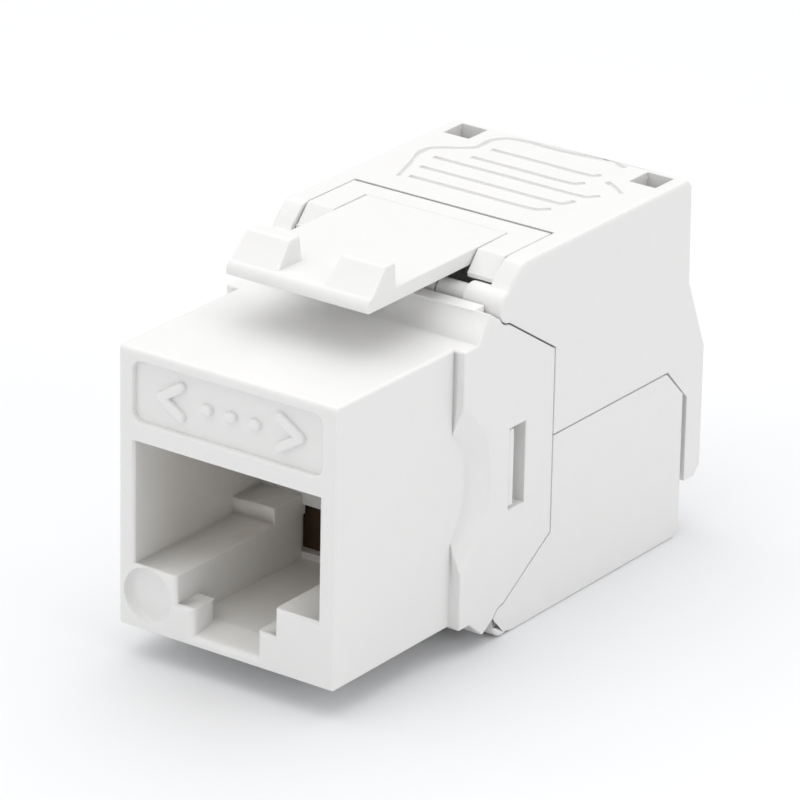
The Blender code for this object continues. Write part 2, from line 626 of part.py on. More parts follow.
def make_upper_wing():
    """Upper shell: roof, two cheeks, a leaning rear wall and a leg behind the lower wing."""
    half = WIDTH / 2
    seam = seam_height(1)
    roof_bottom = UPPER_TOP - UPPER_ROOF
    outline = wing_front_outline(1) + [
        (WING_REAR, seam), (LEG_INNER, seam - LEG_SLOPE), (LEG_INNER, LEG_BOTTOM),
        (LENGTH - LEG_CHAMFER, LEG_BOTTOM), (LENGTH, LEG_BOTTOM + LEG_CHAMFER), (LENGTH, UPPER_LEG_TOP),
        (UPPER_REAR + REAR_LEAN, UPPER_WAIST), (UPPER_REAR, UPPER_TOP - ROOF_CORNER),
        (UPPER_REAR - ROOF_CORNER, UPPER_TOP)] + wing_arm_outline()
    wing = side_prism("upper_wing", outline, -half, half)
    inner_front, inner_rear = SHOULDER_TIP_DEPTH - SPARE, UPPER_REAR - REAR_WALL
    leg_inner = LEG_INNER + LEG_RELIEF
    inside = ((inner_front, LEG_BOTTOM - SPARE), (leg_inner, LEG_BOTTOM - SPARE),
              (leg_inner, UPPER_LEG_TOP), (inner_rear, UPPER_WAIST),
              (inner_rear, roof_bottom), (inner_front, roof_bottom))
    cut(wing, side_prism("inside", inside, -WING_INNER, WING_INNER))
    cut(wing, rod("notch", hinge_centre(1), notch_radius(), -WING_INNER, WING_INNER))
    cut(wing, cable_tool(inner_rear - SPARE, LENGTH + SPARE, -1))
    window_outer = half - WINDOW_MARGIN
    cut(wing, *both_sides(lambda a, b: box("window", (a, b), (WINDOW_REAR - WINDOW_LENGTH, WINDOW_REAR),
                                           (roof_bottom - WINDOW_DEPTH, UPPER_TOP + SPARE)),
                          window_outer - WINDOW_WIDTH, window_outer))
    return add_barrels(wing, 1)


def make_lower_wing():
    """Lower shell: a tray with two cheeks and a rear wall, flat underneath."""
    half = WIDTH / 2
    seam = seam_height(-1)
    chamfer_start = WING_REAR - SEAM_GAP
    outline = wing_front_outline(-1) + [
        (chamfer_start, seam), (LOWER_REAR, seam - (LOWER_REAR - chamfer_start)),
        (LOWER_REAR, LOWER_CORNER), (LOWER_REAR - LOWER_CORNER, 0), (HINGE_DEPTH + BARREL_RADIUS, 0),
        (HINGE_DEPTH - BARREL_RADIUS / 2, level(-1, HINGE_HEIGHT + NECK_RADIUS))]
    wing = side_prism("lower_wing", outline, -half, half)
    inner_front = SHOULDER_TIP_DEPTH - SPARE
    cut(wing, box("inside", (-WING_INNER, WING_INNER), (inner_front, LOWER_REAR - REAR_WALL),
                  (LOWER_FLOOR, MID_HEIGHT + SPARE)))
    relief_rear = HINGE_DEPTH + BARREL_RADIUS + 2 * HINGE_GAP
    cut(wing, box("front_relief", (-WING_INNER, WING_INNER), (inner_front, relief_rear),
                  (-SPARE, LOWER_FLOOR + SPARE)))
    cut(wing, cable_tool(LOWER_REAR - REAR_WALL - SPARE, LENGTH + SPARE, 1))
    return add_barrels(wing, -1)


def cable_tool(front, rear, side):
    """A slot with a round end for the cable, open upwards (side 1) or downwards (side -1)."""
    start = 180 if side > 0 else 0
    outline = arc((0, CABLE_HEIGHT), CABLE_RADIUS, start, start + 180, SEGMENTS // 2)
    open_end = CABLE_HEIGHT + side * MID_HEIGHT
    outline += [(outline[-1][0], open_end), (outline[0][0], open_end)]
    return front_prism("cable_slot", outline, front, rear)


def make_hinge_pin(name, side):
    """Straight pin through a wing's barrels and the housing's ears."""
    return rod(name, hinge_centre(side), PIN_RADIUS, -PIN_LENGTH / 2, PIN_LENGTH / 2)


def make_wire_guide(name, side):
    """Comb inside a wing that presses four wires into their forks."""
    half = GUIDE_WIDTH / 2
    skin = UPPER_TOP - UPPER_ROOF if side > 0 else LOWER_FLOOR
    face = level(side, GUIDE_FACE)
    guide = box(name, (-half, half), (GUIDE_FRONT, GUIDE_REAR), sorted((face, skin - side * FIT_GAP)))
    channel_z = sorted((face - side * SPARE, face + side * GUIDE_CHANNEL_HEIGHT))
    channel = GUIDE_CHANNEL / 2
    fork_half = TERMINAL_WIDTH / 2 + FORK_ROOM
    fork_z = sorted((face - side * SPARE, level(side, TERMINAL_TIP + 2 * FORK_ROOM)))
    thick = TERMINAL_THICKNESS / 2
    for x, depth in terminal_places():
        cut(guide, box("channel", (x - channel, x + channel), (GUIDE_FRONT - SPARE, GUIDE_REAR + SPARE),
                       channel_z),
            box("fork_slot", (x - fork_half, x + fork_half),
                (depth - thick - GUIDE_SWING, depth + thick + FIT_GAP), fork_z))
    return guide


# ---------------------------------------------------------------- materials and assembly

FINISHES = {        # colour, roughness, metallic
    "white_plastic": ((0.83, 0.82, 0.80), 0.42, 0.0),
    "clear_white_plastic": ((0.78, 0.78, 0.76), 0.38, 0.0),
    "board_laminate": ((0.10, 0.06, 0.03), 0.5, 0.0),
    "gold_plate": ((0.80, 0.58, 0.25), 0.25, 1.0),
    "tin_plate": ((0.62, 0.61, 0.58), 0.35, 1.0),
    "pin_steel": ((0.55, 0.55, 0.55), 0.3, 1.0),
}


def make_material(name):
    """A plain surface in one of the finishes above."""
    colour, roughness, metallic = FINISHES[name]
    material = bpy.data.materials.new(name)
    material.use_nodes = True
    shader = material.node_tree.nodes["Principled BSDF"]
    shader.inputs["Base Color"].default_value = (*colour, 1)
    shader.inputs["Roughness"].default_value = roughness
    shader.inputs["Metallic"].default_value = metallic
    return material


def dress(piece, finish):
    """Give a piece its material, and smooth shading on its round faces."""
    material = bpy.data.materials.get(finish) or make_material(finish)
    piece.data.materials.clear()
    piece.data.materials.append(material)
    if piece.type == "MESH":
        piece.data.shade_smooth()
        piece.data.set_sharp_from_angle(angle=math.radians(30))


def main():
    """Clear the scene and build every piece."""
    for old in list(bpy.data.objects):
        bpy.data.objects.remove(old)
    for make in (make_front_housing, make_latch_tab, make_terminal_frame, make_upper_wing,
                 make_lower_wing, make_contact_carrier):
        dress(make(), "white_plastic")
    for place, side in (("upper", 1), ("lower", -1)):
        dress(make_wire_guide(f"{place}_wire_guide", side), "clear_white_plastic")
        dress(make_hinge_pin(f"{place}_hinge_pin", side), "pin_steel")
        for number, (x, depth) in enumerate(terminal_places(), start=1):
            dress(make_terminal(f"{place}_terminal_{number}", side, x, depth), "tin_plate")
    dress(make_circuit_board(), "board_laminate")
    for number, x in enumerate(CONTACT_XS, start=1):
        dress(make_contact(f"jack_contact_{number}", x), "gold_plate")


main()
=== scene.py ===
"""Looks of a tool-less snap-in network jack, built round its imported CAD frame.

Work is done in millimetres: X runs across the jack, depth runs back from the front face and Z runs
up from the lower wing's flat face.  Workpiece.settle() turns a finished mesh into metres.
"""
import json
import logging
import math
from contextlib import contextmanager
from dataclasses import dataclass, field
from enum import Enum
from typing import Callable, Iterable, Iterator, Optional, Sequence

import bmesh
import bpy
from mathutils import Matrix, Vector

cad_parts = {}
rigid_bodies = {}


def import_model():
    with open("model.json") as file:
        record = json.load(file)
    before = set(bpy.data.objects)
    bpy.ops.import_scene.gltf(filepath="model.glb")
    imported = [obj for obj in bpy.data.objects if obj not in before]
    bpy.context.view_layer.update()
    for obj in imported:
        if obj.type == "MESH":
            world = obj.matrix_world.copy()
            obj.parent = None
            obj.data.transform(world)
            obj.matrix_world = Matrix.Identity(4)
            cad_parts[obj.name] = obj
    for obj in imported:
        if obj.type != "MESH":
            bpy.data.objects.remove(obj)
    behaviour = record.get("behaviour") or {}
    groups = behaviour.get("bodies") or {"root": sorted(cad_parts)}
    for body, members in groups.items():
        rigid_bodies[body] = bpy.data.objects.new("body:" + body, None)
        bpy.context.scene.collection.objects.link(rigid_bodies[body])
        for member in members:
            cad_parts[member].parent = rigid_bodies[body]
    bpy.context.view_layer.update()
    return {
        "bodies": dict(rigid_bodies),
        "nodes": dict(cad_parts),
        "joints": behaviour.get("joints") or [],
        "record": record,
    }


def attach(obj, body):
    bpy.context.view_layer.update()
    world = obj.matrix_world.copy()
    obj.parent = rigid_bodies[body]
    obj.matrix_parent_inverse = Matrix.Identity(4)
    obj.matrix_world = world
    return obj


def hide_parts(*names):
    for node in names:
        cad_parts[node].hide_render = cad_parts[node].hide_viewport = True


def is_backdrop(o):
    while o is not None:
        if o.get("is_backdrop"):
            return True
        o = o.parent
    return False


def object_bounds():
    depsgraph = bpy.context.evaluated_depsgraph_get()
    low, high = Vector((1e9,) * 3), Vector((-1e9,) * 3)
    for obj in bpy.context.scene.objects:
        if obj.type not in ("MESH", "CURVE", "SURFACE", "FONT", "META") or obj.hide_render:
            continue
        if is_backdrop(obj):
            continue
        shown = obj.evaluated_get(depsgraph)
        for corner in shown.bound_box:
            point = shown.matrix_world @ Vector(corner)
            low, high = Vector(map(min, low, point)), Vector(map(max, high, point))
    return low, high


LOG = logging.getLogger("network_jack")
MM = 0.001

MIX_FIRST, MIX_SECOND, MIX_RESULT = 6, 7, 2     # colour sockets of a Mix node, which share their names

Colour = tuple[float, float, float]
Place = tuple[float, float, float]
Pair = tuple[float, float]          # two limits, or a place in a plane


class Join(Enum):
    """How one solid is combined with another."""

    ADD = "UNION"
    CUT = "DIFFERENCE"


# ------------------------------------------------------------------ shader maths


class Value:
    """A number socket in a node tree that can be used in Python expressions."""

    def __init__(self, tree: bpy.types.NodeTree, socket: bpy.types.NodeSocket) -> None:
        """Wrap a socket.

        Args:
            tree: the node tree that the socket belongs to.
            socket: the output socket that carries the number.
        """
        self.tree = tree
        self.socket = socket

    def _maths(self, operation: str, first: "Value | float", second: "Value | float") -> "Value":
        """Add one Math node.

        Args:
            operation: the node's operation.
            first: left operand.
            second: right operand.

        Returns:
            The node's result.
        """
        node = self.tree.nodes.new("ShaderNodeMath")
        node.operation = operation
        for slot, operand in enumerate((first, second)):
            if isinstance(operand, Value):
                self.tree.links.new(operand.socket, node.inputs[slot])
            else:
                node.inputs[slot].default_value = operand
        return Value(self.tree, node.outputs[0])

    def __add__(self, other: "Value | float") -> "Value":
        """Sum."""
        return self._maths("ADD", self, other)

    __radd__ = __add__

    def __sub__(self, other: "Value | float") -> "Value":
        """Difference."""
        return self._maths("SUBTRACT", self, other)

    def __rsub__(self, other: float) -> "Value":
        """Reflected difference."""
        return self._maths("SUBTRACT", other, self)

    def __mul__(self, other: "Value | float") -> "Value":
        """Product."""
        return self._maths("MULTIPLY", self, other)

    __rmul__ = __mul__


class Recipe:
    """A node material under construction."""

    def __init__(self, name: str) -> None:
        """Start an empty material.

        Args:
            name: the material's name.
        """
        self.material = bpy.data.materials.new(name)
        self.material.use_nodes = True
        self.tree = self.material.node_tree
        self.tree.nodes.clear()

    def node(self, kind: str, settings: Optional[dict] = None, **sockets: object) -> bpy.types.Node:
        """Add a node.

        Args:
            kind: node type without its ShaderNode prefix.
            settings: attributes set before the sockets.
            **sockets: input name, with _ for a space, to a Value, a socket or a plain value.

        Returns:
            The new node.
        """
        node = self.tree.nodes.new("ShaderNode" + kind)
        for key, setting in (settings or {}).items():
            setattr(node, key, setting)
        for key, wanted in sockets.items():
            self._feed(node.inputs[key.replace("_", " ")], wanted)
        return node

    def _feed(self, target: bpy.types.NodeSocket, wanted: object) -> None:
        """Link a socket, or set its value.

        Args:
            target: the input socket.
            wanted: a Value, an output socket or a plain value; a colour has three parts.
        """
        if isinstance(wanted, Value):
            self.tree.links.new(wanted.socket, target)
        elif isinstance(wanted, bpy.types.NodeSocket):
            self.tree.links.new(wanted, target)
        elif target.type == "RGBA":
            target.default_value = (*wanted, 1.0)
        else:
            target.default_value = wanted

    def value(self, node: bpy.types.Node) -> Value:
        """Wrap the number that a texture node gives."""
        return Value(self.tree, node.outputs["Fac"])

    def position(self) -> bpy.types.NodeSocket:
        """The place on the piece, in metres, in its own coordinates."""
        return self.node("TexCoord").outputs["Object"]

    def noise(self, size: float, detail: float = 2.0, roughness: float = 0.5) -> Value:
        """Add cloudy noise.

        Args:
            size: the clouds' rough size in millimetres.
            detail: how many finer layers it has.
            roughness: how strong they are.

        Returns:
            The noise, from 0 to 1.
        """
        made = self.node("TexNoise", Vector=self.position(), Scale=1.0 / (size * MM), Detail=detail,
                         Roughness=roughness)
        return self.value(made)

    def blend(self, factor: Value, first: Colour, second: Colour) -> bpy.types.NodeSocket:
        """Blend two colours.

        Args:
            factor: 0 for the first colour, 1 for the second.
            first: the first colour.
            second: the second colour.

        Returns:
            The blended colour's socket.
        """
        mix = self.node("Mix", {"data_type": "RGBA"}, Factor=factor)
        mix.inputs[MIX_FIRST].default_value = (*first, 1.0)
        mix.inputs[MIX_SECOND].default_value = (*second, 1.0)
        return mix.outputs[MIX_RESULT]

    def finish(self, surface: bpy.types.NodeSocket) -> bpy.types.Material:
        """Link the surface to the output.

        Args:
            surface: the shader's socket.

        Returns:
            The finished material.
        """
        output = self.tree.nodes.new("ShaderNodeOutputMaterial")
        self.tree.links.new(surface, output.inputs["Surface"])
        return self.material


@dataclass(frozen=True)
class MouldedPlastic:
    """Injection-moulded plastic with a finely spark-eroded surface."""

    name: str
    colour: Colour
    shade: Colour
    roughness: float = 0.40
    roughness_swing: float = 0.10
    grain_size: float = 0.09
    grain_height: float = 0.006
    wave_size: float = 4.0
    wave_height: float = 0.012
    flow_size: float = 1.6
    translucency: float = 0.12
    scatter_depth: float = 0.6

    def make(self) -> bpy.types.Material:
        """Build the material.

        Returns:
            The finished material.
        """
        recipe = Recipe(self.name)
        grain = recipe.noise(self.grain_size, 2.0, 0.6)
        waviness = recipe.noise(self.wave_size, 1.0, 0.5)
        flow = recipe.noise(self.flow_size, 3.0, 0.55)
        tone = recipe.blend(flow, self.shade, self.colour)
        fine = recipe.node("Bump", Strength=1.0, Distance=self.grain_height * MM, Height=grain)
        bump = recipe.node("Bump", Strength=1.0, Distance=self.wave_height * MM, Height=waviness,
                           Normal=fine.outputs["Normal"])
        shader = recipe.node("BsdfPrincipled", Base_Color=tone,
                             Roughness=self.roughness + self.roughness_swing * (grain - 0.5),
                             Normal=bump.outputs["Normal"], IOR=1.49, Subsurface_Weight=self.translucency,
                             Subsurface_Radius=(1.0, 0.9, 0.8), Subsurface_Scale=self.scatter_depth * MM)
        return recipe.finish(shader.outputs["BSDF"])


@dataclass(frozen=True)
class PlatedMetal:
    """Drawn or stamped metal with a thin plating."""

    name: str
    colour: Colour
    roughness: float
    roughness_swing: float = 0.18
    scratch_size: float = 0.9
    scratch_height: float = 0.002
    stretch: float = 9.0

    def make(self) -> bpy.types.Material:
        """Build the material.

        Returns:
            The finished material.
        """
        recipe = Recipe(self.name)
        stretched = recipe.node("Mapping", Vector=recipe.position(), Scale=(self.stretch, 1.0, self.stretch))
        drawn = recipe.node("TexNoise", Vector=stretched.outputs["Vector"],
                            Scale=1.0 / (self.scratch_size * MM), Detail=4.0)
        marks = recipe.value(drawn)
        bump = recipe.node("Bump", Strength=1.0, Distance=self.scratch_height * MM, Height=marks)
        shader = recipe.node("BsdfPrincipled", Base_Color=self.colour, Metallic=1.0,
                             Roughness=self.roughness + self.roughness_swing * (marks - 0.5),
                             Normal=bump.outputs["Normal"])
        return recipe.finish(shader.outputs["BSDF"])


@dataclass(frozen=True)
class BoardLaminate:
    """Glass-epoxy board under a coloured solder mask."""

    name: str
    mask: Colour
    roughness: float = 0.34
    roughness_swing: float = 0.12
    weave_pitch: float = 0.42
    weave_height: float = 0.004
    cloud_size: float = 1.2
    cloud_share: float = 0.6
    cloud_gain: float = 1.6

    def make(self) -> bpy.types.Material:
        """Build the material.

        Returns:
            The finished material.
        """
        recipe = Recipe(self.name)
        weave = recipe.node("TexChecker", Vector=recipe.position(), Scale=1.0 / (self.weave_pitch * MM))
        cloud = recipe.noise(self.cloud_size, 3.0)
        red, green, blue = (self.cloud_gain * part for part in self.mask)
        tone = recipe.blend(cloud * self.cloud_share, self.mask, (red, green, blue))
        bump = recipe.node("Bump", Strength=0.6, Distance=self.weave_height * MM,
                           Height=recipe.value(weave) + cloud)
        shader = recipe.node("BsdfPrincipled", Base_Color=tone,
                             Roughness=self.roughness + self.roughness_swing * cloud,
                             Normal=bump.outputs["Normal"])
        return recipe.finish(shader.outputs["BSDF"])


@dataclass
class FinishShelf:
    """Every finish of the jack, made once."""

    white: bpy.types.Material = field(init=False)
    natural: bpy.types.Material = field(init=False)
    gold: bpy.types.Material = field(init=False)
    tin: bpy.types.Material = field(init=False)
    steel: bpy.types.Material = field(init=False)
    laminate: bpy.types.Material = field(init=False)

    def __post_init__(self) -> None:
        """Make the materials."""
        self.white = MouldedPlastic("white_plastic", (0.84, 0.838, 0.83), (0.815, 0.812, 0.803)).make()
        self.natural = MouldedPlastic("natural_plastic", (0.82, 0.81, 0.78), (0.78, 0.77, 0.74),
                                      roughness=0.34, translucency=0.3).make()
        self.gold = PlatedMetal("gold_plate", (0.86, 0.62, 0.26), 0.22).make()
        self.tin = PlatedMetal("tin_plate", (0.70, 0.69, 0.66), 0.34).make()
        self.steel = PlatedMetal("pin_steel", (0.62, 0.62, 0.61), 0.28).make()
        self.laminate = BoardLaminate("board_laminate", (0.045, 0.022, 0.010)).make()


# ------------------------------------------------------------------ workshop


@dataclass(frozen=True)
class Datums:
    """Where the frame's main faces lie, in millimetres."""

    front: float
    base: float
    half_width: float

    @classmethod
    def from_frame(cls) -> "Datums":
        """Read the datums from the CAD box."""
        low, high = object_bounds()
        return cls(low.y / MM, low.z / MM, high.x / MM)

    def at(self, x: float, depth: float, z: float) -> Vector:
        """A place from its distance across, behind the front face and above the base."""
        return Vector((x, self.front + depth, self.base + z))

    def on_side(self, edge: "Edge") -> bool:
        """True if the edge lies in one of the jack's outer side faces."""
        return near(abs(edge.middle.x), self.half_width)


@contextmanager
def editing(piece: bpy.types.Object) -> Iterator[bmesh.types.BMesh]:
    """Enter edit mode on one object with nothing selected, and leave it again.

    Args:
        piece: the object to edit.

    Yields:
        The edit mesh.
    """
    if bpy.context.mode != "OBJECT":
        bpy.ops.object.mode_set(mode="OBJECT")
    bpy.ops.object.select_all(action="DESELECT")
    bpy.context.view_layer.objects.active = piece
    piece.select_set(True)
    bpy.ops.object.mode_set(mode="EDIT")
    bpy.ops.mesh.select_mode(type="EDGE")
    bpy.ops.mesh.select_all(action="DESELECT")
    mesh = bmesh.from_edit_mesh(piece.data)
    mesh.edges.ensure_lookup_table()
    yield mesh
    bpy.ops.object.mode_set(mode="OBJECT")


@dataclass(frozen=True)
class Edge:
    """What a rounding rule may ask about an edge, in (x, depth, z) millimetres."""

    middle: Vector
    along: Vector
    angle: float

    def runs(self, axis: int, tolerance: float = 0.02) -> bool:
        """True if the edge lies along a coordinate axis."""
        return abs(abs(self.along[axis]) - 1.0) < tolerance


Rule = Callable[[Edge], bool]
SHARPEST_KEPT = 25.0        # edges that turn less than this many degrees aren't rounded
CREASE = 40.0               # edges that turn more than this many degrees are shaded sharp
SLIVER = 0.004              # keeps two faces that are united from lying in one plane


def anywhere(_: Edge) -> bool:
    """A rule that picks every edge."""
    return True


def near(value: float, wanted: float, slack: float = 0.03) -> bool:
    """True if two lengths are the same within a slack."""
    return abs(value - wanted) < slack


class Workpiece:
    """A mesh on the bench, in millimetres, shaped by modelling operators."""

    def __init__(self, datums: Datums, made: bpy.types.Object, name: str) -> None:
        """Take an object as the workpiece.

        Args:
            datums: where the frame lies.
            made: the object to shape.
            name: the piece's name.
        """
        self.datums = datums
        self.thing = made
        self.thing.name = name

    @classmethod
    def from_node(cls, datums: Datums, node: bpy.types.Object, name: str) -> "Workpiece":
        """Copy a CAD node, merge its loose triangles and clear the lines across its flats.

        Args:
            datums: where the frame lies.
            node: the CAD node.
            name: the piece's name.

        Returns:
            The workpiece.
        """
        copy = bpy.data.objects.new(name, node.data.copy())
        bpy.context.scene.collection.objects.link(copy)
        copy.data.materials.clear()
        copy.data.transform(Matrix.Scale(1 / MM, 4))
        return cls(datums, copy, name).clear_flats()

    def clear_flats(self) -> "Workpiece":
        """Merge doubled corners and clear the lines across the flats.

        Returns:
            This workpiece.
        """
        with editing(self.thing):
            bpy.ops.mesh.select_all(action="SELECT")
            bpy.ops.mesh.remove_doubles(threshold=0.002)
            bpy.ops.mesh.dissolve_limited(angle_limit=math.radians(0.5))
        return self

    @classmethod
    def block(cls, datums: Datums, name: str, x: Pair, depth: Pair, z: Pair) -> "Workpiece":
        """Add a rectangular block between pairs of limits.

        Args:
            datums: where the frame lies.
            name: the piece's name.
            x: left and right.
            depth: front and rear.
            z: bottom and top.

        Returns:
            The workpiece.
        """
        low, high = datums.at(x[0], depth[0], z[0]), datums.at(x[1], depth[1], z[1])
        bpy.ops.object.select_all(action="DESELECT")
        bpy.ops.mesh.primitive_cube_add(size=1.0, location=(low + high) / 2, scale=high - low)
        bpy.ops.object.transform_apply(location=True, rotation=True, scale=True)
        return cls(datums, bpy.context.active_object, name)

    @classmethod
    def disc(cls, datums: Datums, name: str, centre: Place, radius: float, length: float,
             sides: int = 48) -> "Workpiece":
        """Add a cylinder that lies front to rear.

        Args:
            datums: where the frame lies.
            name: the piece's name.
            centre: its middle as (x, depth, z).
            radius: its radius.
            length: its length.
            sides: faces round it.

        Returns:
            The workpiece.
        """
        bpy.ops.object.select_all(action="DESELECT")
        bpy.ops.mesh.primitive_cylinder_add(vertices=sides, radius=radius, depth=length,
                                            location=datums.at(*centre), rotation=(math.pi / 2, 0, 0))
        bpy.ops.object.transform_apply(location=True, rotation=True, scale=True)
        return cls(datums, bpy.context.active_object, name)

    @classmethod
    def slab(cls, datums: Datums, name: str, outline: Sequence[Place], rise: Place) -> "Workpiece":
        """Extrude a flat outline.

        Args:
            datums: where the frame lies.
            name: the piece's name.
            outline: its corners as (x, depth, z).
            rise: how far and which way it is extruded.

        Returns:
            The workpiece.
        """
        bpy.ops.object.select_all(action="DESELECT")
        bpy.ops.mesh.primitive_plane_add(size=1.0)
        made = bpy.context.active_object
        with editing(made) as mesh:
            bmesh.ops.delete(mesh, geom=mesh.verts[:], context="VERTS")
            mesh.faces.new([mesh.verts.new(datums.at(*corner)) for corner in outline])
            bmesh.update_edit_mesh(made.data)
            bpy.ops.mesh.select_all(action="SELECT")
            bpy.ops.mesh.extrude_region_move(TRANSFORM_OT_translate={"value": rise})
            bpy.ops.mesh.select_all(action="SELECT")
            bpy.ops.mesh.normals_make_consistent(inside=False)
        return cls(datums, made, name)

    @classmethod
    def bead(cls, datums: Datums, name: str, route: Sequence[Place], radius: float) -> "Workpiece":
        """Sweep a round bead along a smooth route.

        Args:
            datums: where the frame lies.
            name: the piece's name.
            route: the places that it passes, as (x, depth, z).
            radius: its radius.

        Returns:
            The workpiece.
        """
        curve = bpy.data.curves.new(name, "CURVE")
        curve.dimensions = "3D"
        curve.bevel_depth, curve.bevel_resolution, curve.use_fill_caps = radius, 1, True
        curve.resolution_u = 5
        spline = curve.splines.new("BEZIER")
        spline.bezier_points.add(len(route) - 1)
        for knot, place in zip(spline.bezier_points, route):
            knot.co = datums.at(*place)
            knot.handle_left_type = knot.handle_right_type = "AUTO"
        made = bpy.data.objects.new(name, curve)
        bpy.context.scene.collection.objects.link(made)
        bpy.ops.object.select_all(action="DESELECT")
        made.select_set(True)
        bpy.context.view_layer.objects.active = made
        bpy.ops.object.convert(target="MESH")
        return cls(datums, made, name)

    def describe(self, edge: bmesh.types.BMEdge) -> Edge:
        """Put an edge into the terms that rounding rules use.

        Args:
            edge: an edge of this piece between two faces.

        Returns:
            Its middle and direction, and the angle that its faces turn through.
        """
        first, second = (vert.co for vert in edge.verts)
        shift = Vector((0, self.datums.front, self.datums.base))
        angle = math.degrees(edge.calc_face_angle_signed(0.0))
        return Edge((first + second) / 2 - shift, (second - first).normalized(), angle)

    def round_edges(self, plan: Sequence[tuple[float, Rule]], segments: int = 3) -> "Workpiece":
        """Round convex edges, each by the last rule of the plan that picks it.

        Args:
            plan: pairs of a width and the rule for the edges that get it.
            segments: steps across each rounding.

        Returns:
            This workpiece.
        """
        widest = max(width for width, _ in plan)
        with editing(self.thing) as mesh:
            weights = mesh.edges.layers.float.new("bevel_weight_edge")
            for edge in mesh.edges:
                seen = self.describe(edge) if len(edge.link_faces) == 2 else None
                if seen is None or seen.angle < SHARPEST_KEPT:
                    continue
                for width, rule in plan:
                    if rule(seen):
                        edge[weights] = width / widest
            bmesh.update_edit_mesh(self.thing.data)
        rounding = self.thing.modifiers.new("rounding", "BEVEL")
        rounding.limit_method = "WEIGHT"
        rounding.offset_type = "OFFSET"
        rounding.width = widest
        rounding.segments = segments
        rounding.use_clamp_overlap = False
        rounding.miter_outer = "MITER_SHARP"
        bpy.context.view_layer.objects.active = self.thing
        bpy.ops.object.modifier_apply(modifier=rounding.name)
        return self

    def slide(self, shift: Place, picks: Callable[[Vector], bool]) -> "Workpiece":
        """Move the corners that a rule picks.

        Args:
            shift: how far they move, in millimetres.
            picks: says of a corner at (x, depth, z) whether it moves.

        Returns:
            This workpiece.
        """
        origin = self.datums.at(0, 0, 0)
        with editing(self.thing) as mesh:
            bpy.ops.mesh.select_mode(type="VERT")
            for corner in mesh.verts:
                corner.select = picks(corner.co - origin)
            mesh.select_flush_mode()
            bmesh.update_edit_mesh(self.thing.data)
            bpy.ops.transform.translate(value=shift)
        return self

    def combine(self, tool: "Workpiece", how: Join) -> "Workpiece":
        """Join a tool to this piece or cut it out, and put the tool away.

        Args:
            tool: the other solid.
            how: join or cut.

        Returns:
            This workpiece.
        """
        modifier = self.thing.modifiers.new("shape", "BOOLEAN")
        modifier.operation = how.value
        modifier.solver = "EXACT"
        modifier.object = tool.thing
        bpy.context.view_layer.objects.active = self.thing
        bpy.ops.object.modifier_apply(modifier=modifier.name)
        bpy.data.objects.remove(tool.thing)
        return self

    def mirrored(self, name: str, middle: float = 0.0) -> "Workpiece":
        """A copy on the other side of an upright plane.

        Args:
            name: the copy's name.
            middle: where the plane stands along X.

        Returns:
            The copy, with its faces pointing out.
        """
        copy = self.thing.copy()
        copy.data = self.thing.data.copy()
        bpy.context.scene.collection.objects.link(copy)
        copy.data.transform(Matrix.Translation((2 * middle, 0, 0)) @ Matrix.Scale(-1, 4, (1, 0, 0)))
        copy.data.flip_normals()
        return Workpiece(self.datums, copy, name)

    def settle(self, body: str, slot: str, finish: bpy.types.Material,
               stands_for: Iterable[str] = ()) -> None:
        """Finish the piece: metres, shading, material and body.

        Args:
            body: the CAD body that it rides on.
            slot: the record's material slot; not used.
            finish: its material.
            stands_for: CAD nodes that it replaces.
        """
        thing = self.thing
        with editing(thing):
            bpy.ops.mesh.select_all(action="SELECT")
            bpy.ops.mesh.dissolve_degenerate(threshold=0.0005)
        thing.data.transform(Matrix.Scale(MM, 4))
        bpy.ops.object.shade_smooth_by_angle(angle=math.radians(CREASE))
        weigh = thing.modifiers.new("weigh", "WEIGHTED_NORMAL")
        weigh.keep_sharp = True
        bpy.ops.object.modifier_apply(modifier=weigh.name)
        thing.data.materials.clear()
        thing.data.materials.append(finish)
        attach(thing, body)
        if stands_for:
            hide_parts(*stands_for)
        LOG.info("%s: %d faces on %s", thing.name, len(thing.data.polygons), body)


# ------------------------------------------------------------------ the jack's sub-assemblies


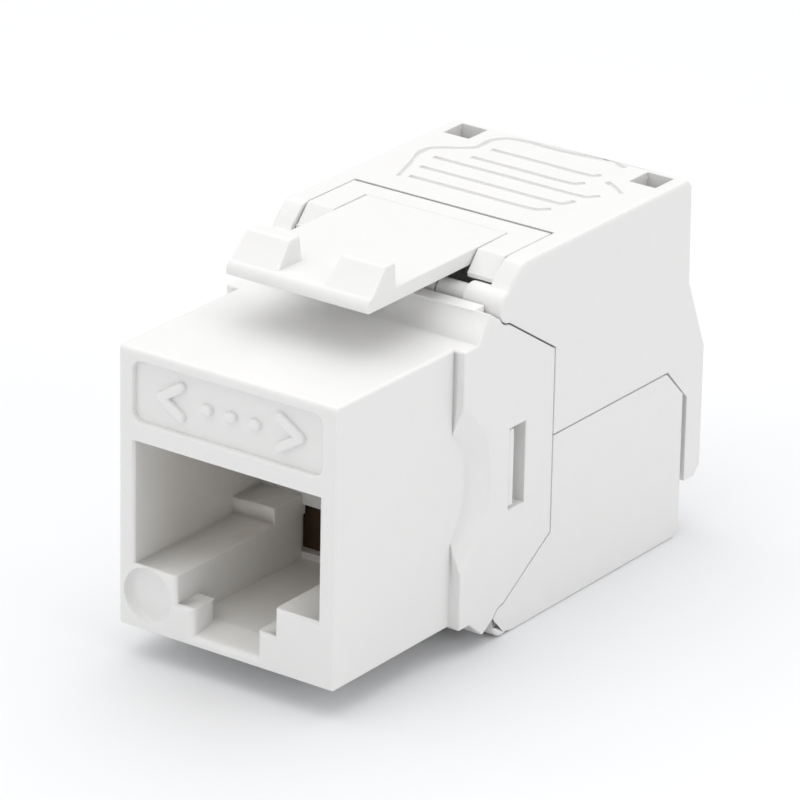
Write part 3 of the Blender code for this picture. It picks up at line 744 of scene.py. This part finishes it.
@dataclass
class FrontHousing:
    """The block and shoulder round the plug port, with the raised mark in its label recess."""

    datums: Datums
    finishes: FinishShelf
    frame: dict
    fine_radius: float = 0.06
    corner_radius: float = 0.27
    mouth_radius: float = 0.28
    lip_radius: float = 0.12
    keeper_radius: float = 0.50
    stop_radius: float = 0.09
    ridge_radius: float = 0.08
    block_half: float = 7.25
    block_under: float = 1.75
    block_top: float = 18.0
    shoulder_front: float = 10.5
    port_half: float = 6.3
    port_ledge: float = 5.55
    port_ceiling: float = 12.7
    stop_front: float = 8.75
    stop_cover: float = 0.03
    stop_span: Pair = (3.28, 6.9)
    stop_height: Pair = (5.2, 6.53)
    stop_rear: float = 11.2
    # painted shade: a dark laminate sheet just behind the port's window, in front of the frame's white
    # flange
    shade_sheet_half: float = 3.64
    shade_sheet_depth: Pair = (11.85, 11.95)
    shade_sheet_height: Pair = (3.11, 5.89)
    pocket_middle: Pair = (-5.25, 3.9)
    pocket_radius: float = 1.6
    pocket_plug: float = 1.47
    plug_root: float = 0.1
    pocket_depth: float = 0.5
    pocket_fillet: float = 0.38
    label_middle: Place = (0.1, 0.35, 15.6)
    stroke_width: float = 0.56
    stroke_relief: float = 0.30
    stroke_radius: float = 0.15
    stroke_root: float = 0.05

    def build(self) -> None:
        """Model the housing's shell, its mark and a dark laminate sheet behind the port's window that paints
        the shade there.
        """
        self.shell().settle("housing", "white_plastic", self.finishes.white, ["front_housing"])
        self.mark().settle("housing", "white_plastic", self.finishes.white)
        # Painted shade: a thin dark laminate sheet behind the port's window makes the window read dark
        shade_sheet = Workpiece.block(self.datums, "window_shade_sheet", (-self.shade_sheet_half, self.shade_sheet_half),
                                self.shade_sheet_depth, self.shade_sheet_height)
        shade_sheet.settle("housing", "board_laminate", self.finishes.laminate)

    def shell(self) -> Workpiece:
        """Round the CAD solid's edges as its mould does, and finish the pocket and the plug stops.

        Returns:
            The shell.
        """
        shell = Workpiece.from_node(self.datums, self.frame["nodes"]["front_housing"], "housing_shell")
        self.fill_pocket(shell)
        shell.round_edges(self.rounding_plan(), 4)
        self.sink_pocket(shell)
        self.add_stops(shell)
        return shell

    def rounding_plan(self) -> list[tuple[float, Rule]]:
        """Which width each edge of the shell gets.

        Returns:
            Pairs of a width and a rule.
        """
        def in_front(edge: Edge) -> bool:
            """In the front face."""
            return near(edge.middle.y, 0)

        def outer(edge: Edge) -> bool:
            """The block's outer edges, round the front face and back along its flanks."""
            at = edge.middle
            flank = near(abs(at.x), self.block_half)
            skin = flank or near(at.z, self.block_under) or near(at.z, self.block_top)
            return at.y < self.shoulder_front and skin and (in_front(edge) or (edge.runs(1) and flank))

        def mouth(edge: Edge) -> bool:
            """Round the port's mouth."""
            at = edge.middle
            return in_front(edge) and abs(at.x) < self.port_half and 2.0 < at.z < 12.8

        def label(edge: Edge) -> bool:
            """Round the label recess."""
            return in_front(edge) and 13.5 < edge.middle.z < 17.6

        def ceiling(edge: Edge) -> bool:
            """The port's upper lip, which stays crisp."""
            return in_front(edge) and near(edge.middle.z, self.port_ceiling)

        def ledge(edge: Edge) -> bool:
            """The left ledge's front lip, which stays crisp."""
            at = edge.middle
            return in_front(edge) and edge.runs(0) and near(at.z, self.port_ledge) and at.x < -3

        def keeper(edge: Edge) -> bool:
            """The upright corners of the two lugs beside the latch channel."""
            at = edge.middle
            return edge.runs(2) and near(abs(at.x), 2.1) and at.y < 2.1 and at.z < 4

        def shoulder(edge: Edge) -> bool:
            """Along the front of the shoulder's sides."""
            return 10.3 < edge.middle.y < 13.0 and self.datums.on_side(edge)

        def ridge(edge: Edge) -> bool:
            """The ridge over the shoulder."""
            return edge.middle.z > 18.8 and edge.middle.y > 12.9

        def stop(edge: Edge) -> bool:
            """The sharp plug stops, which rounded ones cover."""
            return near(edge.middle.y, self.stop_front) and edge.middle.z < 7

        def ear(edge: Edge) -> bool:
            """The hinge ears' sides, which stay sharp."""
            return 2.3 < abs(edge.middle.x) < 3.5 and edge.middle.y > 13.8

        return [(self.fine_radius, anywhere), (self.corner_radius, outer), (self.mouth_radius, mouth),
                (self.lip_radius, label), (self.fine_radius, ceiling), (self.fine_radius, ledge),
                (self.lip_radius, shoulder), (self.ridge_radius, ridge), (0.0, ear), (0.0, stop),
                (self.keeper_radius, keeper)]

    def fill_pocket(self, shell: Workpiece) -> None:
        """Fill the CAD solid's pocket, so that the rounding beside it runs straight on.

        Args:
            shell: the shell, not yet rounded.
        """
        x, z = self.pocket_middle
        centre = (x, (self.pocket_depth + self.plug_root) / 2, z)
        plug = Workpiece.disc(self.datums, "plug", centre, self.pocket_plug,
                              self.pocket_depth + self.plug_root, 24)
        shell.combine(plug, Join.ADD)
        shell.clear_flats()

    def sink_pocket(self, shell: Workpiece) -> None:
        """Sink the round pocket again, with a curved rim to its floor.

        Args:
            shell: the rounded shell.
        """
        x, z = self.pocket_middle
        dish = Workpiece.disc(self.datums, "dish", (x, 0, z), self.pocket_radius, 2 * self.pocket_depth)
        dish.round_edges([(self.pocket_fillet, lambda edge: near(edge.middle.y, self.pocket_depth))], 5)
        shell.combine(dish, Join.CUT)

    def add_stops(self, shell: Workpiece) -> None:
        """Lay a rounded plug stop over each sharp one on the port's ledges.

        Args:
            shell: the rounded shell.
        """
        inner, outer = self.stop_span
        depth = (self.stop_front - self.stop_cover, self.stop_rear)
        for side, span in (("left", (-outer, -inner)), ("right", (inner, outer))):
            stop = Workpiece.block(self.datums, f"{side}_stop", span, depth, self.stop_height)
            stop.round_edges([(self.stop_radius, anywhere)], 4)
            shell.combine(stop, Join.ADD)

    def stroke(self, name: str, first: Pair, last: Pair) -> Workpiece:
        """One raised stroke with round ends, lying in the label recess.

        Args:
            name: the stroke's name.
            first: one end's middle as (x, z) from the label's middle.
            last: the other end's middle.

        Returns:
            The stroke.
        """
        x, depth, z = self.label_middle
        run = Vector((last[0] - first[0], last[1] - first[1]))
        heading = math.atan2(run.y, run.x) if run.length else 0.0
        outline = []
        for end, turn in ((last, -90.0), (first, 90.0)):
            for step in range(9):
                angle = heading + math.radians(turn + 22.5 * step)
                outline.append((x + end[0] + math.cos(angle) * self.stroke_width / 2,
                                depth + self.stroke_root,
                                z + end[1] + math.sin(angle) * self.stroke_width / 2))
        front = depth - self.stroke_relief
        made = Workpiece.slab(self.datums, name, outline, (0, front - depth - self.stroke_root, 0))
        return made.round_edges([(self.stroke_radius, lambda edge: near(edge.middle.y, front))], 4)

    def mark(self) -> Workpiece:
        """A plain link sign: two arrowheads and three dots.

        Returns:
            The mark.
        """
        tip, wing, height = 4.6, 3.3, 0.85
        arrow = self.stroke("link_mark", (wing, height), (tip, 0))
        arrow.combine(self.stroke("lower_stroke", (wing, -height), (tip, 0)), Join.ADD)
        arrow.combine(arrow.mirrored("mirrored_arrow", self.label_middle[0]), Join.ADD)
        for place in (-1.6, 0.0, 1.6):
            arrow.combine(self.stroke("dot", (place - 0.1, 0), (place + 0.1, 0)), Join.ADD)
        return arrow


@dataclass
class Wings:
    """The two squeeze-shut wings."""

    datums: Datums
    finishes: FinishShelf
    frame: dict
    fine_radius: float = 0.045
    roof_radius: float = 0.24
    base_radius: float = 0.16
    roof_top: float = 21.55
    groove_radius: float = 0.19
    groove_depth: float = 0.2
    barrel_steps: int = 16
    barrel_top: float = 20.3
    barrel_fade: float = 1.85

    def build(self) -> None:
        """Model both wings."""
        self.upper().settle("upper_wing_body", "white_plastic", self.finishes.white, ["upper_wing"])
        self.lower().settle("lower_wing_body", "white_plastic", self.finishes.white, ["lower_wing"])

    def upper(self) -> Workpiece:
        """Round the upper wing and press the grip lines into its roof.

        Returns:
            The upper wing.
        """
        side = self.datums.on_side

        def roof(edge: Edge) -> bool:
            """Along the roof's sides."""
            return side(edge) and edge.middle.z > 20.2 and edge.middle.y < 31.6

        def barrel(top: float) -> Rule:
            """Round the barrels' outer ends, up to a height."""
            return lambda edge: side(edge) and edge.middle.y < 14.52 and 18.4 < edge.middle.z < top

        def rear(edge: Edge) -> bool:
            """Down the sides of the leaning rear wall and the leg."""
            at = edge.middle
            return side(edge) and ((at.y > 31.6 and at.z > 10.9) or at.y > 33.4)

        def roof_rear(edge: Edge) -> bool:
            """Across the roof's rear edge."""
            at = edge.middle
            return edge.runs(0) and at.y > 31.5 and at.z > 20.8 and abs(at.x) < 7.9

        def pressed(edge: Edge) -> bool:
            """The grip lines' rims, which stay sharp."""
            at = edge.middle
            return abs(at.x) < 6.5 and 22 < at.y < 31.5 and at.z > 21.1

        wing = Workpiece.from_node(self.datums, self.frame["nodes"]["upper_wing"], "upper_wing_shell")
        groove_middle = self.roof_top + self.groove_radius - self.groove_depth
        for number, route in enumerate(self.grip_routes(), start=1):
            places = [(x, depth, groove_middle) for x, depth in route]
            groove = Workpiece.bead(self.datums, f"grip_{number}", places, self.groove_radius)
            wing.combine(groove, Join.CUT)
        fade = (self.roof_radius - self.fine_radius) / self.barrel_steps
        drop = self.barrel_fade / self.barrel_steps
        barrels = [(self.roof_radius - fade * step, barrel(self.barrel_top - drop * step))
                   for step in range(self.barrel_steps)]
        return wing.round_edges([(self.fine_radius, anywhere), (self.roof_radius, roof), *barrels,
                                 (self.roof_radius, rear), (self.fine_radius, roof_rear),
                                 (0.0, pressed)], 4)

    def grip_routes(self) -> list[list[Pair]]:
        """Where the grip lines run on the roof: five hooked lines inside one open outline.

        Returns:
            Routes as (x, depth) places.
        """
        lines = ((22.6, -4.6, 3.95, 4.63, 23.58), (24.2, -5.0, 4.54, 4.96, 25.42),
                 (25.9, -5.31, 5.04, 5.60, 26.92), (27.2, -3.65, 3.33, 3.80, 28.09),
                 (28.9, -3.47, 3.44, 3.78, 29.69))
        hooked = [[(left, depth), ((left + right) / 2, depth), (right - 0.5, depth), (right, depth + 0.08),
                   ((right + hook_x) / 2, (depth + hook_depth) / 2 - 0.05),
                   (hook_x - 0.1, hook_depth - 0.35)]
                  for depth, left, right, hook_x, hook_depth in lines]
        outline = [(-5.02, 22.25), (-5.7, 24.4), (-6.33, 26.72), (-6.08, 27.13), (-4.6, 28.3),
                   (-4.32, 28.7), (-4.32, 29.99), (-4.06, 30.61), (-3.62, 30.97), (-0.31, 31.13),
                   (3.28, 31.32), (4.08, 31.14)]
        closing = [(4.54, 28.68), (5.4, 28.15), (6.16, 27.57)]
        return [*hooked, outline, closing]

    def lower(self) -> Workpiece:
        """Round the lower wing.

        Returns:
            The lower wing.
        """
        def base(edge: Edge) -> bool:
            """Along the underside and up the rear corners."""
            at = edge.middle
            return self.datums.on_side(edge) and (at.z < 0.7 or (at.y > 31.8 and at.z < 8))

        wing = Workpiece.from_node(self.datums, self.frame["nodes"]["lower_wing"], "lower_wing_shell")
        return wing.round_edges([(self.fine_radius, anywhere), (self.base_radius, base)], 4)


@dataclass
class LatchTongue:
    """The spring tongue with its two hooks."""

    datums: Datums
    finishes: FinishShelf
    front: float = 6.0
    root: float = 18.74
    top: float = 21.55
    bottom: float = 20.70
    half_width: float = 4.7
    nose_length: float = 0.55
    nose_chamfer: float = 0.22
    hook_inner: float = 1.5
    hook_crest: float = 7.75
    hook_rear: float = 8.65
    hook_top: float = 22.89
    hook_sink: float = 0.3
    hook_lean_out: float = 0.22
    hook_lean_in: float = 0.1
    blade_radius: float = 0.07
    hook_radius: float = 0.12
    rib_front: float = 11.9
    rib_run: float = 0.5
    rib_drop: float = 0.25
    rib_gap: float = 0.14
    rib_half: float = 4.1

    def build(self) -> None:
        """Model the tongue right up to the deck that it grows from."""
        tongue = self.blade()
        tongue.combine(self.rib(), Join.ADD)
        hook = self.hook()
        tongue.combine(hook.mirrored("left_hook"), Join.ADD)
        tongue.combine(hook, Join.ADD)
        tongue.settle("latch", "white_plastic", self.finishes.white, ["latch_tab"])

    def blade(self) -> Workpiece:
        """The flat tongue with its rounded nose.

        Returns:
            The blade.
        """
        rise = self.top - self.bottom - self.nose_chamfer
        upper = [(self.front + self.nose_length * (1 - math.sin(turn)),
                  self.top - rise * (1 - math.cos(turn)))
                 for turn in (math.radians(18 * step) for step in range(6))]
        lower = [(self.front + self.nose_chamfer * (1 - math.cos(turn)),
                  self.bottom + self.nose_chamfer * (1 - math.sin(turn)))
                 for turn in (math.radians(45 * step) for step in (1, 2))]
        outline = upper + lower + [(self.root, self.bottom), (self.root, self.top)]
        places = [(-self.half_width, depth, height) for depth, height in outline]
        blade = Workpiece.slab(self.datums, "latch_tongue", places, (2 * self.half_width, 0, 0))

        def side(edge: Edge) -> bool:
            """The tongue's long edges and its nose's ends."""
            return near(abs(edge.middle.x), self.half_width) and edge.middle.y < self.root - 0.1

        return blade.round_edges([(self.blade_radius, side)], 4)

    def rib(self) -> Workpiece:
        """The stiffening rib under the root.

        Returns:
            The rib.
        """
        sunk, crest, rear = self.bottom + 0.05, self.bottom - self.rib_drop, self.root - self.rib_gap
        outline = ((self.rib_front, sunk), (self.rib_front, self.bottom),
                   (self.rib_front + self.rib_run, crest), (rear, crest), (rear, sunk))
        places = [(-self.rib_half, depth, height) for depth, height in outline]
        return Workpiece.slab(self.datums, "rib", places, (2 * self.rib_half, 0, 0))

    def hook(self) -> Workpiece:
        """The right hook: a wedge that leans in towards its crest.

        Returns:
            The hook.
        """
        start, sunk, proud = self.front + self.nose_length * 0.8, self.top - self.hook_sink, self.top + 0.1
        outline = ((start, sunk), (start, self.top - 0.02), (self.hook_crest, self.hook_top),
                   (self.hook_rear, self.hook_top), (self.hook_rear, sunk))
        places = [(self.hook_inner, depth, height) for depth, height in outline]
        width = self.half_width - self.hook_inner - SLIVER
        hook = Workpiece.slab(self.datums, "hook", places, (width, 0, 0))
        hook.slide((self.hook_lean_out, 0, 0), lambda at: at.z > proud and at.x < self.hook_inner + 0.1)
        hook.slide((-self.hook_lean_in, 0, 0), lambda at: at.z > proud and at.x > self.half_width - 0.1)
        return hook.round_edges([(self.hook_radius, lambda edge: edge.middle.z > proud)], 4)


@dataclass
class TerminalFrame:
    """The frame behind the shoulder, with its deck over the hinge."""

    datums: Datums
    finishes: FinishShelf
    frame: dict
    edge_radius: float = 0.08
    tongue_root: float = 18.75
    root_bottom: float = 20.3
    skirt_span: Pair = (4.9, 6.6)
    skirt_profile: tuple[Pair, ...] = ((14.87, 20.5), (14.87, 20.28), (15.13, 20.1), (15.8, 20.1),
                                        (15.8, 20.5))

    def build(self) -> None:
        """Round the frame, except where the tongue grows out of its deck, and add the skirts."""
        def away_from_root(edge: Edge) -> bool:
            """Every edge but those where the tongue grows out."""
            return not near(edge.middle.y, self.tongue_root) or edge.middle.z <= self.root_bottom

        node = self.frame["nodes"]["terminal_frame"]
        shell = Workpiece.from_node(self.datums, node, "terminal_frame_shell")
        shell.round_edges([(self.edge_radius, away_from_root)], 3)
        self.add_skirts(shell)
        shell.settle("housing", "white_plastic", self.finishes.white, ["terminal_frame"])

    def add_skirts(self, shell: Workpiece) -> None:
        """Reach down from each side block towards the wing's barrel, clear of where it turns.

        Args:
            shell: the rounded frame.
        """
        inner, outer = self.skirt_span
        for side, first in (("left", -outer), ("right", inner)):
            outline = [(first, depth, height) for depth, height in self.skirt_profile]
            skirt = Workpiece.slab(self.datums, f"{side}_skirt", outline, (outer - inner, 0, 0))
            shell.combine(skirt, Join.ADD)


def dress_nodes(frame: dict, finishes: FinishShelf) -> None:
    """Give each CAD node its finish, by the record's slots.

    Args:
        frame: the loaded frame.
        finishes: the materials.
    """
    by_slot = {"white_plastic": finishes.white, "natural_plastic": finishes.natural,
               "gold_plate": finishes.gold, "tin_plate": finishes.tin, "pin_steel": finishes.steel,
               "board_laminate": finishes.laminate}
    for entry in frame["record"]["subparts"]:
        node = frame["nodes"][entry["node"]]
        node.data.materials.clear()
        node.data.materials.append(by_slot[entry["material_slot"]])


# ------------------------------------------------------------------ studio


@dataclass(frozen=True)
class SoftBox:
    """A square area light: its middle in millimetres, its edge in metres and its power in watts."""

    name: str
    place: Place
    size: float
    power: float


@dataclass
class Studio:
    """Floor, lights and camera.  Angles are in degrees and the camera's distance in millimetres."""

    datums: Datums
    azimuth: float = 35.55
    elevation: float = 22.57
    roll: float = 1.08
    distance: float = 334.9
    lens: float = 276.57
    aim: Place = (0.97, 14.34, 12.22)
    sensor: float = 36.0
    floor_colour: Colour = (0.845, 0.85, 0.862)
    floor_size: float = 6.0
    sky_strength: float = 0.5
    boxes: tuple[SoftBox, ...] = (SoftBox("top_box", (-60, 60, 420), 0.75, 2.2),
                                  SoftBox("front_box", (-150, -330, 160), 0.35, 0.23),
                                  SoftBox("right_box", (430, 20, 190), 0.35, 0.38))

    def build(self) -> None:
        """Set up the studio."""
        self.camera()
        self.floor()
        self.sky()
        for box in self.boxes:
            self.hang(box)
        bpy.context.scene.view_settings.view_transform = "Standard"

    def camera(self) -> None:
        """Add the camera, aimed and rolled."""
        turn, lift, roll = (math.radians(angle) for angle in (self.azimuth, self.elevation, self.roll))
        back = Vector((math.sin(turn) * math.cos(lift), -math.cos(turn) * math.cos(lift), math.sin(lift)))
        level_right = Vector((math.cos(turn), math.sin(turn), 0))
        level_up = back.cross(level_right)
        right = level_right * math.cos(roll) + level_up * math.sin(roll)
        up = level_up * math.cos(roll) - level_right * math.sin(roll)
        place = (self.datums.at(*self.aim) + back * self.distance) * MM
        data = bpy.data.cameras.new("camera")
        data.lens, data.sensor_width = self.lens, self.sensor
        data.clip_start, data.clip_end = 0.01, 20.0
        camera = bpy.data.objects.new("camera", data)
        bpy.context.scene.collection.objects.link(camera)
        turned = Matrix((right, up, back)).transposed().to_4x4()
        camera.matrix_world = Matrix.Translation(place) @ turned
        bpy.context.scene.camera = camera

    def floor(self) -> None:
        """Add the pale floor."""
        bpy.ops.object.select_all(action="DESELECT")
        bpy.ops.mesh.primitive_plane_add(size=self.floor_size, location=(0, 0, self.datums.base * MM))
        floor = bpy.context.active_object
        floor.name = "studio_floor"
        recipe = Recipe("studio_floor")
        shader = recipe.node("BsdfPrincipled", Base_Color=self.floor_colour, Roughness=0.6,
                             Specular_IOR_Level=0.1)
        floor.data.materials.append(recipe.finish(shader.outputs["BSDF"]))
        floor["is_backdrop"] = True

    def sky(self) -> None:
        """Add the even light from all round."""
        world = bpy.data.worlds.new("studio")
        world.use_nodes = True
        background = world.node_tree.nodes["Background"]
        background.inputs["Color"].default_value = (1.0, 1.0, 1.0, 1.0)
        background.inputs["Strength"].default_value = self.sky_strength
        bpy.context.scene.world = world

    def hang(self, box: SoftBox) -> None:
        """Hang one soft box and aim it at the jack.

        Args:
            box: the soft box.
        """
        data = bpy.data.lights.new(box.name, "AREA")
        data.size, data.energy = box.size, box.power
        lamp = bpy.data.objects.new(box.name, data)
        lamp.location = self.datums.at(*box.place) * MM
        towards = self.datums.at(*self.aim) * MM - lamp.location
        lamp.rotation_euler = towards.to_track_quat("-Z", "Y").to_euler()
        bpy.context.scene.collection.objects.link(lamp)


def main() -> None:
    """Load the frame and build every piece."""
    logging.basicConfig(level=logging.INFO, format="%(name)s: %(message)s")
    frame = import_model()
    datums = Datums.from_frame()
    finishes = FinishShelf()
    dress_nodes(frame, finishes)
    FrontHousing(datums, finishes, frame).build()
    Wings(datums, finishes, frame).build()
    LatchTongue(datums, finishes).build()
    TerminalFrame(datums, finishes, frame).build()
    Studio(datums).build()


if __name__ == "__main__":
    main()
